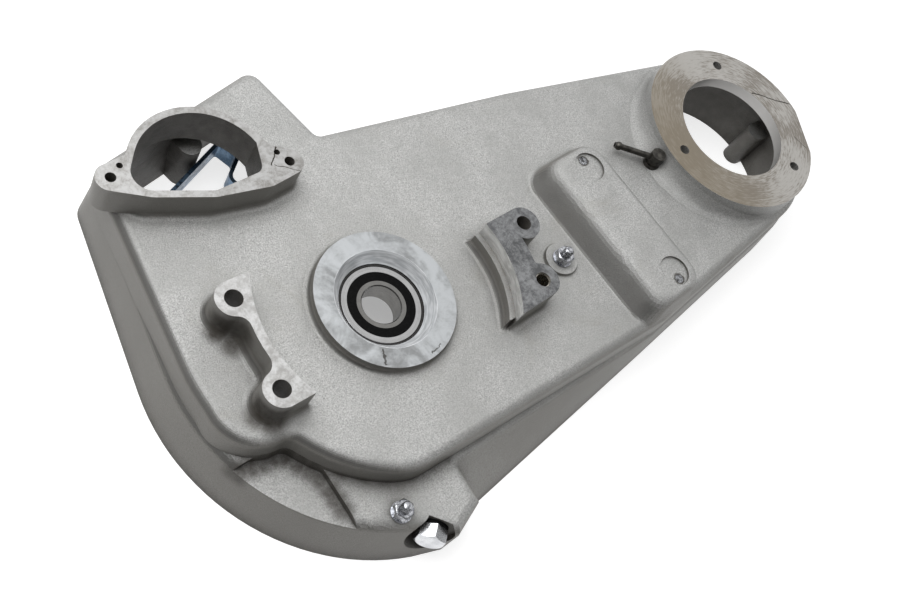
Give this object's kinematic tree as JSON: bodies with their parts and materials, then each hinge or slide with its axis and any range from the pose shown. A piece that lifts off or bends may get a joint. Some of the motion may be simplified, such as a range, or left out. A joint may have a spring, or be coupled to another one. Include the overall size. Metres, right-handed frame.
{
  "type": "inner primary chain housing",
  "caption": "Cast aluminium inner primary chain housing with clutch bearing, crankshaft ring, starter tower, gearbox pads, drain plug and vent fitting.",
  "frame": {"origin": "on the clutch bearing's axis, at the middle of the bearing's width", "axes": "+X from the bearing to the crankshaft opening, +Z out of the face that meets engine and gearbox"},
  "size_m": [0.5446, 0.3187, 0.0742],
  "materials": {
    "cast_aluminium": "satin cast",
    "bearing_steel": "ground",
    "cage_steel": "pressed",
    "dark_steel": "blackened",
    "seal_rubber": "matte",
    "zinc_steel": "zinc plated",
    "blue_zinc": "blue zinc",
    "insert_steel": "bright"
  },
  "bodies": {
    "housing": {"housing": "cast_aluminium", "bearing_outer_ring": "bearing_steel", "bearing_seal_outer": "seal_rubber", "bearing_seal_inner": "seal_rubber", "bearing_retaining_ring": "dark_steel", "drain_plug": "zinc_steel", "drain_plug_seal": "seal_rubber", "sump_stud": "zinc_steel", "sump_stud_nut": "zinc_steel", "face_stud": "zinc_steel", "face_stud_nut": "zinc_steel", "hose_fitting": "dark_steel", "strap": "blue_zinc", "strap_screws": "zinc_steel", "tensioner_rack": "zinc_steel", "rack_screws": "zinc_steel", "thread_insert": "insert_steel"},
    "bearing_inner_ring": {"bearing_inner_ring": "bearing_steel"},
    "bearing_cage": {"bearing_balls": "bearing_steel", "bearing_cage": "cage_steel"}
  },
  "joints": [
    {"name": "inner_ring_spin", "type": "hinge", "parent": "housing", "child": "bearing_inner_ring", "pos_m": [0, 0, 0], "axis": [0, 0, 1], "continuous": true},
    {"name": "cage_spin", "type": "hinge", "parent": "housing", "child": "bearing_cage", "pos_m": [0, 0, 0], "axis": [0, 0, 1], "continuous": true}
  ],
  "couplings": [
    {"joint": "cage_spin", "follows": "inner_ring_spin", "ratio": 0.397}
  ]
}
